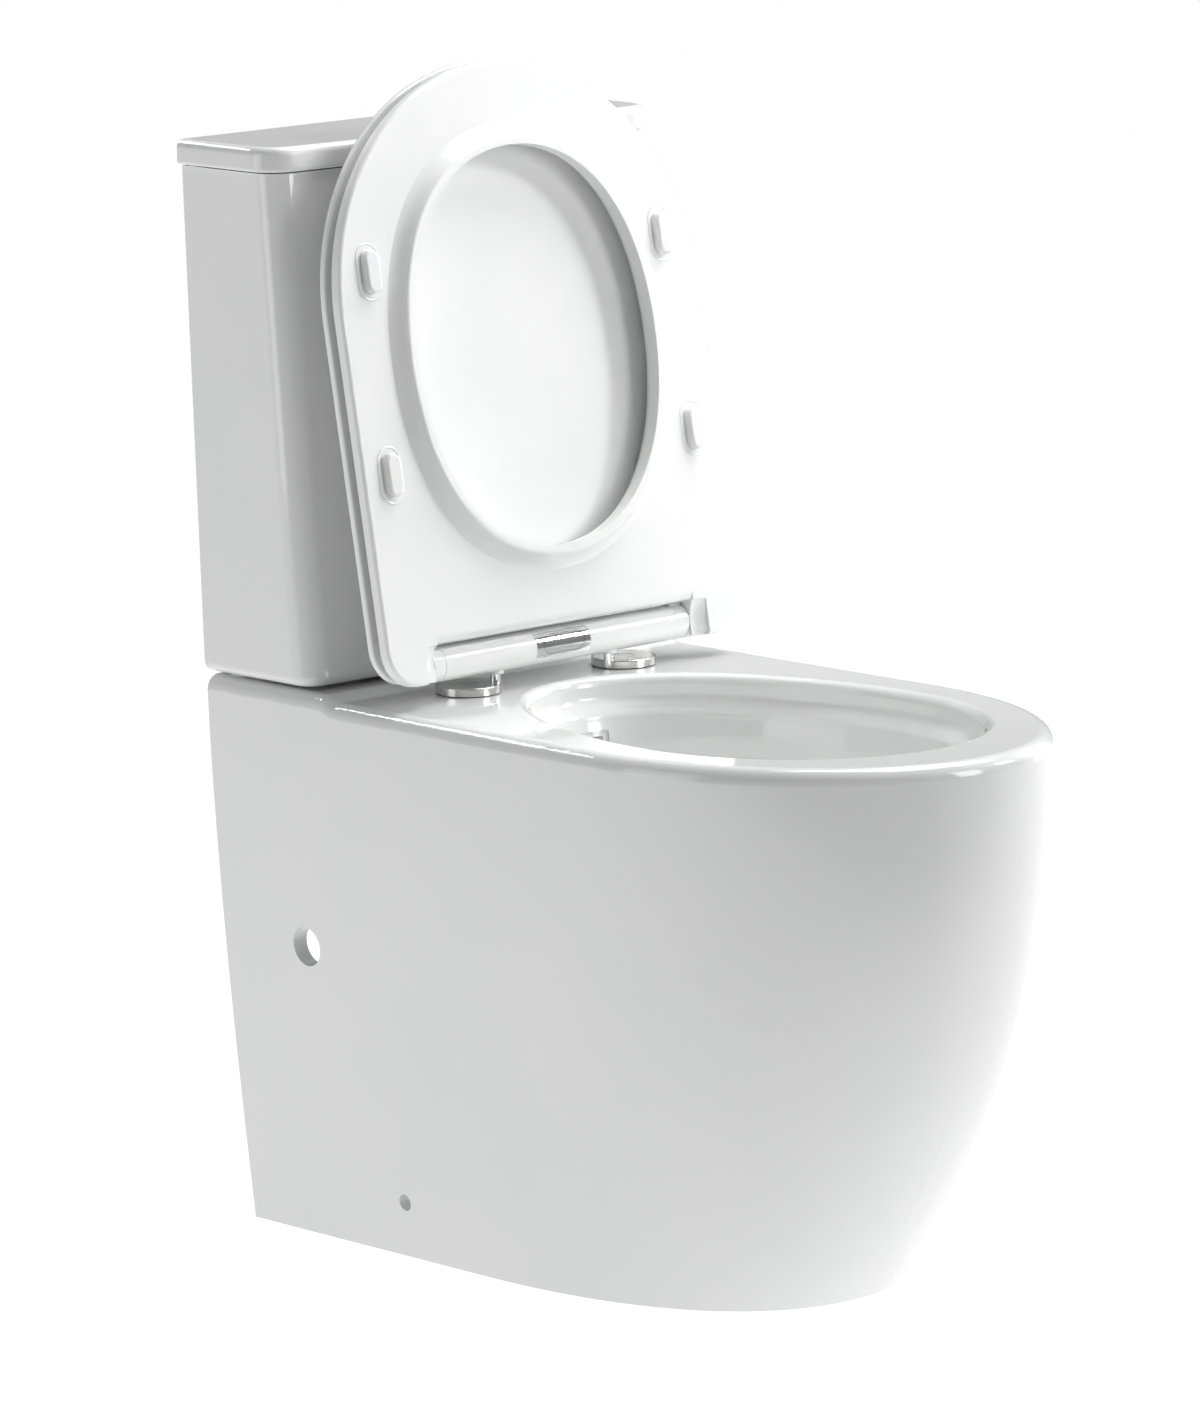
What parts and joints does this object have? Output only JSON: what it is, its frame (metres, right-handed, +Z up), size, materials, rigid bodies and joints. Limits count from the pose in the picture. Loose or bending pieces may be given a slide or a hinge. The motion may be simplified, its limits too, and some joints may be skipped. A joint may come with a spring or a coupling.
{
  "type": "close coupled toilet",
  "caption": "Back-to-wall close coupled toilet with a rimless open bowl, slim cistern, push-button flush and a raised slim soft-close seat and cover.",
  "frame": {"origin": "middle of the footprint on the floor, with the seat and cover raised", "axes": "+Z up, -Y towards the front of the pan, +Y towards the wall, X across the width"},
  "size_m": [0.386, 0.648, 0.875],
  "materials": {
    "glaze": "glossy white glaze",
    "seat_plastic": "glossy white moulding",
    "bumper": "satin white elastomer",
    "collar_plastic": "satin white",
    "chrome": "mirror bright",
    "steel": "brushed, polished edge",
    "zinc": "plain plated",
    "black_rubber": "matt black",
    "red_rubber": "matt red",
    "valve_plastic": "satin white",
    "blue_plastic": "satin blue",
    "damper_plastic": "satin dark grey",
    "pin_steel": "plain"
  },
  "bodies": {
    "toilet": {"pan": "glaze", "cistern": "glaze", "cistern_lid": "glaze", "hinge_barrel": "seat_plastic", "hinge_collars": "collar_plastic", "hinge_posts": "chrome", "release_bezel": "chrome", "button_bezel": "chrome", "hinge_bases": "steel", "cistern_bolts": "zinc", "cistern_bolt_washers": "zinc", "cistern_wing_nuts": "zinc", "hinge_bolts": "zinc", "hinge_base_gaskets": "black_rubber", "cistern_gasket": "black_rubber", "cistern_bolt_rubbers": "black_rubber", "flush_valve_washer": "black_rubber", "fill_valve_washer": "black_rubber", "flush_valve_body": "valve_plastic", "flush_valve_nut": "valve_plastic", "fill_valve_body": "valve_plastic", "fill_valve_nut": "valve_plastic", "button_nut": "valve_plastic", "hinge_nuts": "valve_plastic", "fill_valve_head": "blue_plastic", "cover_damper": "damper_plastic", "seat_damper": "damper_plastic", "flush_lever_pin": "pin_steel", "float_lever_pin": "pin_steel"},
    "seat_cover": {"seat_cover": "seat_plastic", "cover_bumpers": "bumper", "cover_damper_shaft": "pin_steel"},
    "seat": {"seat": "seat_plastic", "seat_bumpers": "bumper", "seat_damper_shaft": "pin_steel"},
    "full_button": {"full_flush_button": "chrome"},
    "half_button": {"half_flush_button": "chrome"},
    "flush_lift": {"overflow_tube": "valve_plastic", "flush_seal": "red_rubber"},
    "flush_lever": {"flush_lever": "blue_plastic"},
    "float_cup": {"float_cup": "blue_plastic"},
    "float_lever": {"float_lever": "blue_plastic"},
    "release_button": {"release_button": "chrome"}
  },
  "joints": [
    {"name": "cover_hinge", "type": "hinge", "parent": "toilet", "child": "seat_cover", "pos_m": [0, 0.136, 0.445], "axis": [1, 0, 0], "range_deg": [0, 100]},
    {"name": "seat_hinge", "type": "hinge", "parent": "seat_cover", "child": "seat", "pos_m": [0, 0.136, 0.445], "axis": [-1, 0, 0], "range_deg": [-100, 0]},
    {"name": "full_flush_press", "type": "slide", "parent": "toilet", "child": "full_button", "axis": [0, 0, -1], "range_m": [0, 0.008], "stiffness_N_per_m": 400, "springref_m": -0.004},
    {"name": "half_flush_press", "type": "slide", "parent": "toilet", "child": "half_button", "axis": [0, 0, -1], "range_m": [0, 0.008], "stiffness_N_per_m": 200, "springref_m": -0.003},
    {"name": "flush_valve_lift", "type": "slide", "parent": "toilet", "child": "flush_lift", "axis": [0, 0, 1], "range_m": [0, 0.008]},
    {"name": "flush_lever_turn", "type": "hinge", "parent": "toilet", "child": "flush_lever", "pos_m": [0, 0.268, 0.717], "axis": [0, -1, 0], "range_deg": [0, 31.63]},
    {"name": "float_travel", "type": "slide", "parent": "toilet", "child": "float_cup", "axis": [0, 0, -1], "range_m": [0, 0.014]},
    {"name": "float_lever_turn", "type": "hinge", "parent": "toilet", "child": "float_lever", "pos_m": [-0.113, 0.268, 0.729], "axis": [0, -1, 0], "range_deg": [0, 28.65]},
    {"name": "release_press", "type": "slide", "parent": "toilet", "child": "release_button", "axis": [0, 0.9781, -0.2079], "range_m": [0, 0.0025], "stiffness_N_per_m": 1500, "springref_m": -0.002}
  ],
  "couplings": [
    {"joint": "flush_valve_lift", "follows": "full_flush_press", "ratio": 1},
    {"joint": "flush_lever_turn", "follows": "full_flush_press", "rad_per_m": 69},
    {"joint": "float_lever_turn", "follows": "float_travel", "rad_per_m": 35.7}
  ]
}
